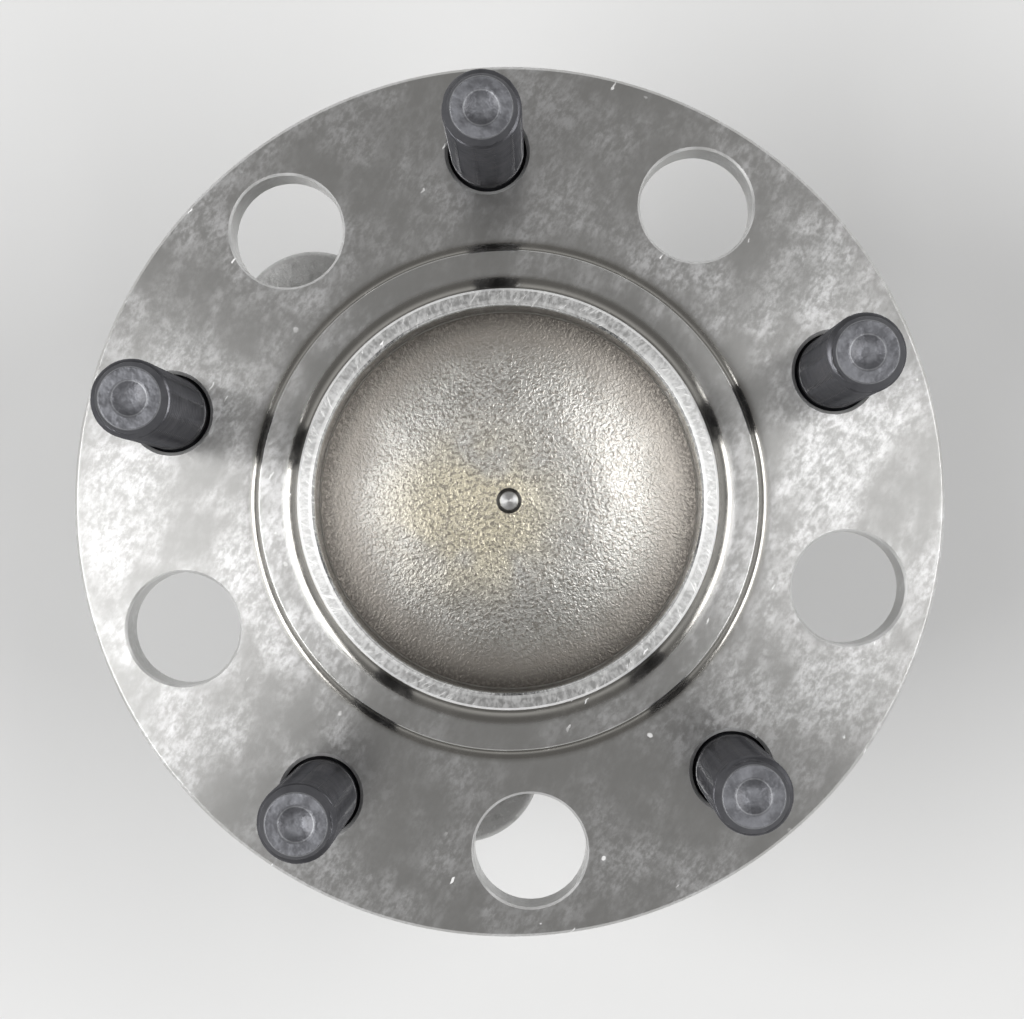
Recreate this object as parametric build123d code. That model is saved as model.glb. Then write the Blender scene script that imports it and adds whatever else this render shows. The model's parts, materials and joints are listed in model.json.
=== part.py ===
from build123d import *

import os
from math import cos, radians, sin, tan

os.makedirs("parts", exist_ok=True)

# All sizes are in millimetres. The origin is where the bearing axis meets the wheel face,
# and +Z points outboard, to the wheel.

# Wheel flange
pitch_circle = 114.3
flange_rim = 13.95  # from the pitch circle to the flange's edge
flange_thickness = 9.0
flange_edge = 0.5
access_hole_diameter = 18.4
hole_edge = 0.4

# Wheel studs
stud_count = 5
first_stud_angle = 74.7  # from +X
stud_diameter = 12.0
stud_reach = 36.3  # from the wheel face to the tip
stud_knurl = 0.45  # height of the press-fit knurl above the thread
stud_knurl_setback = 1.2  # from the wheel face to the knurl's end
stud_runout = 0.45  # depth of the groove between the thread and the knurl
stud_thread_start = 0.05  # below the wheel face
stud_mouth = 0.55  # chamfer where a stud leaves the flange
stud_tip_chamfer = 1.4
stud_dimple_diameter = 5.8
stud_dimple_depth = 0.6
stud_head_diameter = 20.0
stud_head_thickness = 3.5
stud_head_round = 1.0

# Raised step and wheel pilot
step_rim = 7.05  # from the pilot's wall to the step's wall
step_height = 4.0
step_fillet = 3.0
step_edge = 0.2
pilot_diameter = 66.9
pilot_height = 11.0
pilot_fillet = 3.4
pilot_edge = 0.4
pilot_wall = 2.85
bowl_mouth_edge = 0.5
bowl_corner = 0.8  # fillet between the bowl's wall and its floor
bowl_floor = 2.2  # height of the bowl's rim above the wheel face
bowl_sag = 6.0  # how much deeper the bowl is in the middle
centre_mark_diameter = 4.2  # of the turning centre's protective chamfer
centre_cone_diameter = 3.0
centre_drill_diameter = 1.5
centre_drill_depth = 2.2

# Bearing rows
spigot_diameter = 76.0
ring_wall = 4.0  # outer ring, at its seats for the seal and the cap
seat_step = 1.2  # from an end bore of the outer ring to the seat beyond it
ball_diameter = 11.112
balls_per_row = 13
race_play = 0.15  # between a ball and each raceway
row_spacing = 21.4
low_shoulder_angle = 12.0
high_shoulder_angle = 65.0
inner_ring_wall = 4.7  # under the low shoulder
cage_wall = 1.6  # behind a ball
pocket_play = 0.25  # between a ball and its pocket
cage_play = 0.75  # between a cage and the rings
cage_claw = 2.2  # how far the pockets reach past the balls' middle

# Outboard seal
seal_gap = 4.0  # from the flange's back to the outer ring
seal_width = 5.5
seal_sheet = 0.8
seal_web_gap = 3.0  # from the seal land to the case's web
seal_land_step = 0.75  # seal land above the ball circle
lip_play = 0.2
root_fillet = 4.5

# Spindle end
thread_step = 5.0  # from the inner ring's seat down to the thread
nut_washer = 2.0
nut_height = 7.0
nut_chamfer = 1.0
washer_rim = 1.2  # beyond the nut's corners
nut_flats_ratio = 3.0  # width across flats over the thread's radius
thread_beyond_nut = 1.5
thread_edge = 1.0

# Speed encoder
encoder_width = 4.2
encoder_sheet = 0.6
magnet_thickness = 1.0
magnet_play = 1.5  # from the magnet's rim to the cap
sensor_air_gap = 0.8

# Knuckle flange of the outer ring
knuckle_face_depth = 43.5  # from the wheel face
ear_thickness = 12.0
ear_spacing_x = 46.5
ear_spacing_y = 81.7
ear_radius = 14.0
ear_blend = 6.0
ear_round = 1.4  # along the ears' outboard edge
plate_rim = 4.5  # from the ring's outboard body to the plate between the ears
body_rim = 1.6  # from the spigot's wall to the outboard body
body_fillet = 2.8
body_edge = 1.0  # at the ring's outboard end
ear_hole_diameter = 10.65  # tapping drill of an M12 x 1.25 thread
ear_hole_edge = 1.1
joint_lap = 0.1  # of the turned ring under the forged plate
spigot_edge = 1.5

# Inboard cap
cap_sheet = 1.2
cap_seat_depth = 6.0
cap_sleeve = 5.4
cap_collar = 2.2  # how far the folded collar stands out over the seat
cap_fold = 1.4  # thickness of the folded collar
cap_neck = 0.8  # from the seat down to the cap's cup
cap_corner = 4.0
cap_end_play = 1.2  # from the spindle to the cap's end wall
cap_window_diameter = 36.0
o_ring_groove = 1.5
o_ring_play = 0.02

# Speed sensor and its connector
housing_lap = 4.5  # how far the moulding laps the cap's end wall
housing_inner_lap = 1.1
housing_disc = 2.8
pot_width = 21.0
pot_back = 17.0  # from the axis to the pot's blind end
pot_corner = 7.0
rib_thickness = 1.8
rib_height = 5.0
rib_angles = (58, 122, 238, 302)  # from +X
socket_reach = 35.0  # from the axis to the socket's mouth
socket_width = 18.0
socket_height = 11.5
socket_wall = 1.6
socket_corner = 2.5
socket_depth = 15.0
socket_length = 21.0
socket_lip = 1.6  # length of the collar round the mouth
socket_lip_setback = 3.0  # from the mouth to the collar
latch_setback = 7.0  # from the mouth to the middle of the latch nib
latch_length = 4.0
latch_width = 5.0
latch_height = 1.2
moulding_round = 1.2  # of the pot and the disc
probe_width = 9.0
probe_thickness = 5.1
probe_play = 0.6  # from the probe to the cap's rounded corner
terminal_width = 2.8
terminal_thickness = 0.8
terminal_spacing = 5.0
terminal_length = 8.0
terminal_root = 3.0

# Worked out from the sizes above
stud_radius = stud_diameter / 2
knurl_radius = stud_radius + stud_knurl
runout_radius = stud_radius - stud_runout
flange_radius = pitch_circle / 2 + flange_rim
pilot_radius = pilot_diameter / 2
step_radius = pilot_radius + step_rim

ball_radius = ball_diameter / 2
groove_radius = ball_radius + race_play
spigot_radius = spigot_diameter / 2
seat_radius = spigot_radius - ring_wall
end_bore_radius = seat_radius - seat_step
ball_circle_radius = end_bore_radius - groove_radius * cos(radians(low_shoulder_angle))
middle_bore_radius = ball_circle_radius + groove_radius * cos(radians(high_shoulder_angle))
high_shoulder_radius = ball_circle_radius - groove_radius * cos(radians(high_shoulder_angle))
low_shoulder_radius = ball_circle_radius - groove_radius * cos(radians(low_shoulder_angle))
journal_radius = low_shoulder_radius - inner_ring_wall
thread_radius = journal_radius - thread_step
land_radius = ball_circle_radius + seal_land_step
body_radius = spigot_radius + body_rim
plate_radius = body_radius + plate_rim
cage_reach = ball_radius + pocket_play + cage_wall

flange_back = -flange_thickness
ring_outboard_end = flange_back - seal_gap
seal_back = ring_outboard_end - seal_width
outboard_row = seal_back - cage_play - cage_reach
inboard_row = outboard_row - row_spacing
ring_joint = (outboard_row + inboard_row) / 2
encoder_start = inboard_row - cage_reach - cage_play
inner_ring_end = encoder_start - encoder_width
ring_inboard_end = inner_ring_end - encoder_sheet
magnet_face = inner_ring_end - magnet_thickness
nut_end = inner_ring_end - nut_washer - nut_height
spindle_end = nut_end - thread_beyond_nut
knuckle_face = -knuckle_face_depth
ear_top = knuckle_face + ear_thickness
cap_inside = spindle_end - cap_end_play
cap_end = cap_inside - cap_sheet
cup_radius = seat_radius - cap_neck
magnet_radius = seat_radius - cap_sheet - magnet_play
window_radius = cap_window_diameter / 2
disc_radius = window_radius + housing_lap
probe_reach = cup_radius - cap_corner - probe_play
disc_face = cap_end - housing_disc
socket_top = cap_end - socket_wall / 2
housing_bottom = socket_top - socket_height
socket_middle = (socket_top + housing_bottom) / 2

stud_places = PolarLocations(pitch_circle / 2, stud_count, start_angle=first_stud_angle)
access_places = PolarLocations(
    pitch_circle / 2, stud_count, start_angle=first_stud_angle - 180 / stud_count
)
ear_places = GridLocations(ear_spacing_x, ear_spacing_y, 2, 2)


def turned(*corners):
    # A solid turned about Z. A corner is a radius, a height and, if rounded, its fillet.
    points = [(corner[0], 0, corner[1]) for corner in corners]
    rounds = [corner[2] if len(corner) > 2 else 0 for corner in corners]
    outline = FilletPolyline(*points, radius=rounds, close=True)
    return revolve(make_face(outline), Axis.Z)


def drilled(radius, top, bottom, edge):
    # What a through hole takes away, with a chamfer of the given width at both mouths.
    return turned(
        (0, top + 1),
        (radius + edge + 1, top + 1),
        (radius, top - edge),
        (radius, bottom + edge),
        (radius + edge + 1, bottom - 1),
        (0, bottom - 1),
    )


def race_groove(height):
    return Pos(0, 0, height) * Torus(ball_circle_radius, groove_radius)


def centre_mark(surface):
    # The turning centre: a 120 degree chamfer, a 60 degree cone and the drill's own hole.
    mark_radius = centre_mark_diameter / 2
    cone_radius = centre_cone_diameter / 2
    drill_radius = centre_drill_diameter / 2
    cone_mouth = surface - (mark_radius - cone_radius) * tan(radians(30))
    cone_end = cone_mouth - (cone_radius - drill_radius) * tan(radians(60))
    return turned(
        (0, surface + 1),
        (mark_radius, surface + 1),
        (mark_radius, surface),
        (cone_radius, cone_mouth),
        (drill_radius, cone_end),
        (drill_radius, cone_end - centre_drill_depth),
        (0, cone_end - centre_drill_depth - drill_radius * tan(radians(30))),
    )


def hub_spindle():
    bowl_radius = pilot_radius - pilot_wall
    bowl_bottom = bowl_floor - bowl_sag
    body = turned(
        (0, bowl_bottom),
        (bowl_radius / 2, bowl_bottom + bowl_sag / 5, bowl_radius),
        (bowl_radius, bowl_floor, bowl_corner),
        (bowl_radius, pilot_height - bowl_mouth_edge),
        (bowl_radius + bowl_mouth_edge, pilot_height),
        (pilot_radius - pilot_edge, pilot_height),
        (pilot_radius, pilot_height - pilot_edge),
        (pilot_radius, step_height, pilot_fillet),
        (step_radius - step_edge, step_height),
        (step_radius, step_height - step_edge),
        (step_radius, 0, step_fillet),
        (flange_radius - flange_edge, 0),
        (flange_radius, -flange_edge),
        (flange_radius, flange_back + flange_edge),
        (flange_radius - flange_edge, flange_back),
        (land_radius, flange_back, root_fillet),
        (land_radius, seal_back + 1.5 * cage_play),
        (high_shoulder_radius, seal_back),
        (high_shoulder_radius, outboard_row),
        (low_shoulder_radius, outboard_row),
        (low_shoulder_radius, ring_joint),
        (journal_radius, ring_joint),
        (journal_radius, inner_ring_end + 1),
        (thread_radius, inner_ring_end + 1),
        (thread_radius, spindle_end + thread_edge),
        (thread_radius - thread_edge, spindle_end),
        (0, spindle_end),
    )
    body -= race_groove(outboard_row)
    body -= centre_mark(bowl_bottom)
    stud_hole = drilled(knurl_radius, 0, flange_back, stud_mouth)
    access_hole = drilled(access_hole_diameter / 2, 0, flange_back, hole_edge)
    body -= [place * stud_hole for place in stud_places]
    body -= [place * access_hole for place in access_places]
    return body


def wheel_stud():
    shank = turned(
        (0, stud_reach),
        (stud_radius - stud_tip_chamfer, stud_reach),
        (stud_radius, stud_reach - stud_tip_chamfer),
        (stud_radius, -stud_thread_start),
        (runout_radius, -stud_thread_start - stud_runout),
        (runout_radius, -stud_knurl_setback),
        (knurl_radius, -stud_knurl_setback - stud_knurl - stud_runout),
        (knurl_radius, flange_back + stud_mouth),
        (knurl_radius + stud_mouth, flange_back),
        (stud_head_diameter / 2, flange_back),
        (stud_head_diameter / 2, flange_back - stud_head_thickness, stud_head_round),
        (0, flange_back - stud_head_thickness),
    )
    half_width = stud_dimple_diameter / 2
    dimple_radius = (half_width**2 + stud_dimple_depth**2) / (2 * stud_dimple_depth)
    dimple = Pos(0, 0, stud_reach - stud_dimple_depth + dimple_radius) * Sphere(dimple_radius)
    return shank - dimple


def inner_ring():
    ring = turned(
        (journal_radius, ring_joint),
        (low_shoulder_radius, ring_joint),
        (low_shoulder_radius, inboard_row),
        (high_shoulder_radius, inboard_row),
        (high_shoulder_radius, inner_ring_end),
        (journal_radius, inner_ring_end),
    )
    return ring - race_groove(inboard_row)


def spindle_nut():
    hex_top = inner_ring_end - nut_washer
    flats_radius = thread_radius * nut_flats_ratio / 2
    corner_radius = flats_radius / cos(radians(30))
    hexagon = RegularPolygon(flats_radius, 6, major_radius=False)
    prism = Pos(0, 0, nut_end) * extrude(hexagon, nut_height)
    crown = turned(
        (0, hex_top),
        (corner_radius, hex_top),
        (corner_radius, nut_end + nut_chamfer),
        (flats_radius - nut_chamfer / 2, nut_end),
        (0, nut_end),
    )
    washer = Pos(0, 0, hex_top + nut_washer / 2) * Cylinder(corner_radius + washer_rim, nut_washer)
    bore = Pos(0, 0, hex_top) * Cylinder(thread_radius, 4 * nut_height)
    return (prism & crown) + washer - bore


def encoder_carrier():
    sleeve_radius = high_shoulder_radius + encoder_sheet
    return turned(
        (high_shoulder_radius, encoder_start),
        (sleeve_radius, encoder_start),
        (sleeve_radius, inner_ring_end + encoder_sheet),
        (magnet_radius, inner_ring_end + encoder_sheet),
        (magnet_radius, inner_ring_end),
        (high_shoulder_radius, inner_ring_end),
    )


def encoder_magnet():
    inside = high_shoulder_radius + 2 * encoder_sheet
    return turned(
        (inside, inner_ring_end),
        (magnet_radius, inner_ring_end),
        (magnet_radius, magnet_face),
        (inside, magnet_face),
    )


def ball(angle, row):
    place = Pos(
        ball_circle_radius * cos(radians(angle)), ball_circle_radius * sin(radians(angle)), row
    )
    return place * Sphere(ball_radius)


def cage(row, side):
    # A one-piece snap cage. Its solid ring lies on the given side of the balls.
    inside = high_shoulder_radius + cage_play
    outside = end_bore_radius - cage_play
    ring = turned(
        (inside, row + side * cage_reach),
        (outside, row + side * cage_reach),
        (outside, row - side * cage_claw),
        (inside, row - side * cage_claw),
    )
    pocket = Sphere(ball_radius + pocket_play)
    return ring - [
        place * pocket for place in Pos(0, 0, row) * PolarLocations(ball_circle_radius, balls_per_row)
    ]


def outer_ring():
    ring = turned(
        (seat_radius, ring_outboard_end),
        (body_radius - body_edge, ring_outboard_end),
        (body_radius, ring_outboard_end - body_edge),
        (body_radius, ear_top, body_fillet),
        (body_radius + body_fillet + joint_lap, ear_top),
        (body_radius + body_fillet + joint_lap, knuckle_face),
        (spigot_radius, knuckle_face),
        (spigot_radius, ring_inboard_end + spigot_edge),
        (spigot_radius - spigot_edge, ring_inboard_end),
        (seat_radius, ring_inboard_end),
        (seat_radius, ring_inboard_end + cap_seat_depth),
        (end_bore_radius, ring_inboard_end + cap_seat_depth),
        (end_bore_radius, inboard_row),
        (middle_bore_radius, inboard_row),
        (middle_bore_radius, outboard_row),
        (end_bore_radius, outboard_row),
        (end_bore_radius, seal_back),
        (seat_radius, seal_back),
    )
    plate = Sketch() + Circle(plate_radius) + [place * Circle(ear_radius) for place in ear_places]
    reach = ear_spacing_y / 2 + ear_radius
    notches = [corner for corner in plate.vertices() if corner.center().length < reach]
    plate = fillet(notches, ear_blend)
    plate -= Circle(body_radius)
    forging = extrude(plate, ear_thickness)
    rim = [edge for edge in forging.edges().group_by(Axis.Z)[-1] if edge.radius != body_radius]
    forging = fillet(rim, ear_round)
    ring += Pos(0, 0, knuckle_face) * forging
    ear_hole = drilled(ear_hole_diameter / 2, ear_top, knuckle_face, ear_hole_edge)
    ring -= [place * ear_hole for place in ear_places]
    ring -= race_groove(outboard_row)
    ring -= race_groove(inboard_row)
    groove = o_ring_height()
    half_groove = (o_ring_groove + 0.5) / 2
    ring -= turned(
        (seat_radius - 1, groove + half_groove),
        (seat_radius + o_ring_groove, groove + half_groove),
        (seat_radius + o_ring_groove, groove - half_groove),
        (seat_radius - 1, groove - half_groove),
    )
    return ring


def o_ring_height():
    return ring_inboard_end + cap_sleeve / 2


def cap_o_ring():
    section = o_ring_groove / 2 - o_ring_play
    return Pos(0, 0, o_ring_height()) * Torus(seat_radius + o_ring_groove / 2, section)


def seal_case():
    inside = seat_radius - seal_sheet
    web_edge = land_radius + seal_web_gap
    return turned(
        (seat_radius, ring_outboard_end),
        (seat_radius, seal_back, seal_sheet),
        (web_edge, seal_back),
        (web_edge, seal_back + seal_sheet),
        (inside, seal_back + seal_sheet),
        (inside, ring_outboard_end),
    )


def seal_lip():
    # Bonded to the case: one lip runs on the spindle and one on the flange's back.
    tip = land_radius + lip_play
    web_edge = land_radius + seal_web_gap
    web_top = seal_back + seal_sheet
    inside = seat_radius - seal_sheet
    return turned(
        (web_edge, seal_back),
        (web_edge - 0.8, seal_back),
        (tip + 0.8, seal_back + 1.5),
        (tip, seal_back + 2.2),
        (tip, seal_back + 2.7),
        (tip + 1.2, seal_back + 2.6),
        (web_edge + 0.1, seal_back + 1.9),
        (inside - 0.9, flange_back - lip_play - 1.6),
        (inside, flange_back - lip_play),
        (inside, flange_back - lip_play - 1.2),
        (inside - 0.5, flange_back - lip_play - 2.4),
        (inside - 1.1, web_top + 0.8),
        (inside, web_top + 0.6),
        (inside, web_top),
        (web_edge, web_top),
    )


def cap_shell():
    collar_radius = seat_radius + cap_collar
    collar_end = ring_inboard_end - cap_fold
    return turned(
        (seat_radius - cap_sheet, ring_inboard_end + cap_sleeve),
        (seat_radius, ring_inboard_end + cap_sleeve),
        (seat_radius, ring_inboard_end),
        (collar_radius, ring_inboard_end),
        (collar_radius, collar_end, cap_fold / 2 - 0.1),
        (cup_radius, collar_end),
        (cup_radius, cap_end, cap_corner),
        (window_radius, cap_end),
        (window_radius, cap_inside),
        (cup_radius - cap_sheet, cap_inside, cap_corner - cap_sheet),
        (cup_radius - cap_sheet, collar_end),
        (seat_radius - cap_sheet, ring_inboard_end),
    )


def housing_plug():
    # The moulding's round part, which grips the edge of the cap's window from both sides.
    inner_top = cap_inside + housing_inner_lap
    return turned(
        (thread_radius + 2, inner_top),
        (disc_radius, inner_top),
        (disc_radius, cap_inside),
        (window_radius, cap_inside),
        (window_radius, cap_end),
        (disc_radius, cap_end),
        (disc_radius, disc_face, moulding_round),
        (0, disc_face),
        (0, cap_inside),
        (thread_radius + 2, cap_inside),
    )


def sensor_probe():
    # From the plug out to the encoder's track, and up to the air gap.
    arm = Pos(-(window_radius + probe_reach) / 2, 0, cap_inside + housing_inner_lap / 2)
    arm *= Box(probe_reach - window_radius, probe_width, housing_inner_lap)
    post_height = magnet_face - sensor_air_gap - cap_inside
    post = Pos(-probe_reach + probe_thickness / 2, 0, cap_inside + post_height / 2)
    post *= Box(probe_thickness, probe_width, post_height)
    return arm + post


def ribs():
    # They brace the pot against the moulding's disc.
    length = disc_radius - 1.5
    rib = Pos(length / 2, 0, disc_face + (1 - rib_height) / 2) * Box(length, rib_thickness, rib_height + 1)
    return [Rotation(0, 0, angle) * rib for angle in rib_angles]


def socket_section(width, height, corner):
    return Plane.YZ * Pos(0, socket_middle) * RectangleRounded(width, height, corner)


def terminals():
    length = terminal_root + terminal_length
    start = socket_reach - socket_depth - terminal_root
    blade = Box(length, terminal_width, terminal_thickness)
    place = Pos(start + length / 2, 0, socket_middle)
    return [place * Pos(0, side * terminal_spacing / 2, 0) * blade for side in (-1, 1)]


def sensor_housing():
    pot_length = pot_back + socket_reach - socket_length
    pot_middle = (socket_reach - socket_length - pot_back) / 2
    pot_height = cap_end - housing_bottom
    pot = extrude(RectangleRounded(pot_length, pot_width, pot_corner), pot_height)
    pot = Pos(pot_middle, 0, housing_bottom) * fillet(pot.edges().group_by(Axis.Z)[0], moulding_round)
    shell = Pos(socket_reach - socket_length - pot_corner, 0, 0) * extrude(
        socket_section(socket_width, socket_height, socket_corner), socket_length + pot_corner
    )
    collar = Pos(socket_reach - socket_lip_setback, 0, 0) * extrude(
        socket_section(socket_width + socket_wall, socket_height, socket_corner), socket_lip
    )
    nib = Pos(socket_reach - latch_setback, (socket_width + latch_height) / 2, socket_middle)
    nib *= Box(latch_length, latch_height, latch_width)
    hollow = Pos(socket_reach - socket_depth, 0, 0) * extrude(
        socket_section(
            socket_width - 2 * socket_wall,
            socket_height - 2 * socket_wall,
            socket_corner - socket_wall / 2,
        ),
        socket_depth + 1,
    )
    housing = housing_plug() + sensor_probe() + ribs() + pot + shell + collar + nib - hollow
    return housing - terminals()


def write(name, *solids):
    shape = solids[0] if len(solids) == 1 else Compound(children=list(solids))
    export_step(shape, "parts/" + name + ".step")


write("hub_spindle", hub_spindle())
write("wheel_studs", *[place * wheel_stud() for place in stud_places])
write("inner_ring", inner_ring())
write("spindle_nut", spindle_nut())
write("encoder_carrier", encoder_carrier())
write("encoder_magnet", encoder_magnet())
write("outer_ring", outer_ring())
write("seal_case", seal_case())
write("seal_lip", seal_lip())
write("cap_shell", cap_shell())
write("cap_o_ring", cap_o_ring())
write("sensor_housing", sensor_housing())
write("sensor_terminals", *terminals())
write("outboard_cage", cage(outboard_row, 1))
write("inboard_cage", cage(inboard_row, -1))
for index in range(balls_per_row):
    angle = index * 360 / balls_per_row
    write(f"outboard_ball_{index + 1:02d}", ball(angle, outboard_row))
    write(f"inboard_ball_{index + 1:02d}", ball(angle, inboard_row))
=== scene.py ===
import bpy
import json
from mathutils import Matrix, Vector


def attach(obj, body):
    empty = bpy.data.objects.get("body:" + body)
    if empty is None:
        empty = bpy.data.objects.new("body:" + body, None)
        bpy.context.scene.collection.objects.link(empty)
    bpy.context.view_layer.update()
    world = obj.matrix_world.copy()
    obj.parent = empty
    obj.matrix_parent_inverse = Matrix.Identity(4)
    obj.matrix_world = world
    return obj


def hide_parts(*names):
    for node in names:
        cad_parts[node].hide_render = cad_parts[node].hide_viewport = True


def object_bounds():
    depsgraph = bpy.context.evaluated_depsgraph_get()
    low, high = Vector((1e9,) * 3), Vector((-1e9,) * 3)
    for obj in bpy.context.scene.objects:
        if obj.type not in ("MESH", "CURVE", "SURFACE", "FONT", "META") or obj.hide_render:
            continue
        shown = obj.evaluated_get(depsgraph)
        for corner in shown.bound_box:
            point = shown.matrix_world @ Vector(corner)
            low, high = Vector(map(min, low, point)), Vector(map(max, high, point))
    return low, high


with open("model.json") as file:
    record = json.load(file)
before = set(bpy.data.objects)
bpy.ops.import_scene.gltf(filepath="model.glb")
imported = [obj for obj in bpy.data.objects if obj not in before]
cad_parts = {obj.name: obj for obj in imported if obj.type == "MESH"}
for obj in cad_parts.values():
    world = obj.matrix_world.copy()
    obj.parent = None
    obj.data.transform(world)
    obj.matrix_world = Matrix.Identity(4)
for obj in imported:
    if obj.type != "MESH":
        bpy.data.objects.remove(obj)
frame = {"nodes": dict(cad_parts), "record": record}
cadLow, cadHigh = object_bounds()
print("frame loaded with", len(frame["nodes"]), "nodes")

import json
from functools import partialmethod
from math import acos, atan2, ceil, cos, hypot, pi, radians, sin, tan

import bmesh
import bpy
from mathutils import Vector, noise

mm = 0.001


# Node trees

class Wire:
    # One output of a node. Arithmetic on it adds Math nodes to its tree.

    def __init__(self, graph, socket):
        self.graph = graph
        self.socket = socket

    def math(self, operation, *others):
        values = dict(enumerate((self, *others)))
        return self.graph.node("ShaderNodeMath", {"operation": operation}, values)

    def also(self, name):
        return Wire(self.graph, self.socket.node.outputs[name])

    def clamp(self):
        return self.graph.node("ShaderNodeClamp", {}, {"Value": self})

    def __rsub__(self, other):
        return self * -1 + other

    __add__ = __radd__ = partialmethod(math, "ADD")
    __sub__ = partialmethod(math, "SUBTRACT")
    __mul__ = __rmul__ = partialmethod(math, "MULTIPLY")
    __truediv__ = partialmethod(math, "DIVIDE")
    __pow__ = partialmethod(math, "POWER")
    __gt__ = partialmethod(math, "GREATER_THAN")
    __lt__ = partialmethod(math, "LESS_THAN")


class Graph:
    # A node tree that is being built, for a material or for geometry.

    def __init__(self, tree):
        self.tree = tree

    def node(self, kind, settings=None, values=None, output=0):
        node = self.tree.nodes.new(kind)
        for key, value in (settings or {}).items():
            setattr(node, key, value)
        for key, value in (values or {}).items():
            if isinstance(value, Wire):
                self.tree.links.new(value.socket, node.inputs[key])
            else:
                node.inputs[key].default_value = value
        return Wire(self, node.outputs[output]) if node.outputs else None

    def split(self, vector):
        x = self.node("ShaderNodeSeparateXYZ", {}, {0: vector})
        return x, x.also("Y"), x.also("Z")

    def joined(self, x, y, z):
        return self.node("ShaderNodeCombineXYZ", {}, {0: x, 1: y, 2: z})

    def blend(self, factor, first, second):
        return self.node("ShaderNodeMix", {"data_type": "RGBA"}, {0: factor, 6: first, 7: second}, 2)

    def ramp(self, value, low, high, start=0.0, end=1.0):
        # A smooth step of value between low and high, from start to end.
        settings = {"interpolation_type": "SMOOTHSTEP"}
        values = {0: value, 1: low, 2: high, 3: start, 4: end}
        return self.node("ShaderNodeMapRange", settings, values)

    def within(self, value, rise, full, fade, gone):
        # 1 from full to fade, and 0 before rise and beyond gone.
        return self.ramp(value, rise, full) * self.ramp(value, gone, fade)

    def grain(self, place, scale, detail=2.0, roughness=0.5):
        values = {"Vector": place, "Scale": scale, "Detail": detail, "Roughness": roughness}
        return self.node("ShaderNodeTexNoise", {}, values)

    def lines(self, value, scale, detail=2.0, roughness=0.6):
        # Noise along one line only.
        settings = {"noise_dimensions": "1D"}
        values = {"W": value, "Scale": scale, "Detail": detail, "Roughness": roughness}
        return self.node("ShaderNodeTexNoise", settings, values)

    def cells(self, place, scale):
        return self.node("ShaderNodeTexVoronoi", {}, {"Vector": place, "Scale": scale})

    def millimetres(self):
        place = self.node("ShaderNodeTexCoord", output="Object")
        return self.node("ShaderNodeVectorMath", {"operation": "SCALE"}, {0: place, "Scale": 1000.0})

    def measured(self):
        # The place in mm, its three parts and its distance from the bearing's axis.
        place = self.millimetres()
        x, y, z = self.split(place)
        return place, x, y, z, (x * x + y * y) ** 0.5

    def facing(self):
        # 1 where the surface looks straight outboard and 0 on a wall.
        return self.split(self.node("ShaderNodeTexCoord", output="Normal"))[2]

    def stretched(self, place, scale, turn):
        # The pattern's own axes, turned about Z by some degrees and scaled.
        values = {"Vector": place, "Rotation": (0, 0, radians(turn))}
        turned = self.node("ShaderNodeMapping", {"vector_type": "TEXTURE"}, values)
        return self.node("ShaderNodeVectorMath", {"operation": "MULTIPLY"}, {0: turned, 1: scale})

    def bump(self, height):
        # Height is in millimetres.
        return self.node("ShaderNodeBump", {}, {"Height": height, "Distance": mm, "Strength": 1.0})


def emptied(owner):
    # The graph of a new material's or world's node tree, with nothing in it.
    owner.use_nodes = True
    owner.node_tree.nodes.clear()
    return Graph(owner.node_tree)


def paint(build):
    # A material named after the function that returns the values of the surface's sockets.
    material = bpy.data.materials.new(build.__name__)
    graph = emptied(material)
    surface = graph.node("ShaderNodeBsdfPrincipled", {}, build(graph))
    graph.node("ShaderNodeOutputMaterial", {}, {"Surface": surface})
    return material


def geometryTree(name, inputs):
    # An empty geometry tree with named number inputs, and its input node's wire.
    tree = bpy.data.node_groups.new(name, "GeometryNodeTree")
    tree.is_modifier = True
    face = tree.interface
    face.new_socket("Geometry", in_out="INPUT", socket_type="NodeSocketGeometry")
    for label, value in inputs.items():
        kind = "NodeSocketInt" if isinstance(value, int) else "NodeSocketFloat"
        face.new_socket(label, in_out="INPUT", socket_type=kind).default_value = value
    face.new_socket("Material", in_out="INPUT", socket_type="NodeSocketMaterial")
    face.new_socket("Geometry", in_out="OUTPUT", socket_type="NodeSocketGeometry")
    graph = Graph(tree)
    return graph, graph.node("NodeGroupInput")


def finished(graph, given, copied):
    # Ends a geometry tree with real geometry in the given material.
    solid = graph.node("GeometryNodeRealizeInstances", {}, {"Geometry": copied})
    values = {"Geometry": solid, "Material": given.also("Material")}
    graph.node("NodeGroupOutput", {}, {"Geometry": graph.node("GeometryNodeSetMaterial", {}, values)})
    return graph.tree


def grown(name, base, tree, values):
    # Runs a geometry tree on a base mesh and keeps the result as a plain mesh.
    piece = bpy.data.objects.new(name, base)
    bpy.context.scene.collection.objects.link(piece)
    modifier = piece.modifiers.new("shape", "NODES")
    modifier.node_group = tree
    for item in tree.interface.items_tree:
        if item.item_type == "SOCKET" and item.name in values:
            modifier[item.identifier] = values[item.name]
    return settled(piece)


def settled(piece):
    # Turns what the modifiers make into the piece's own mesh.
    shape = piece.evaluated_get(bpy.context.evaluated_depsgraph_get())
    mesh = bpy.data.meshes.new_from_object(shape)
    piece.modifiers.clear()
    piece.data = mesh
    return piece


# Turned shapes

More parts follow.
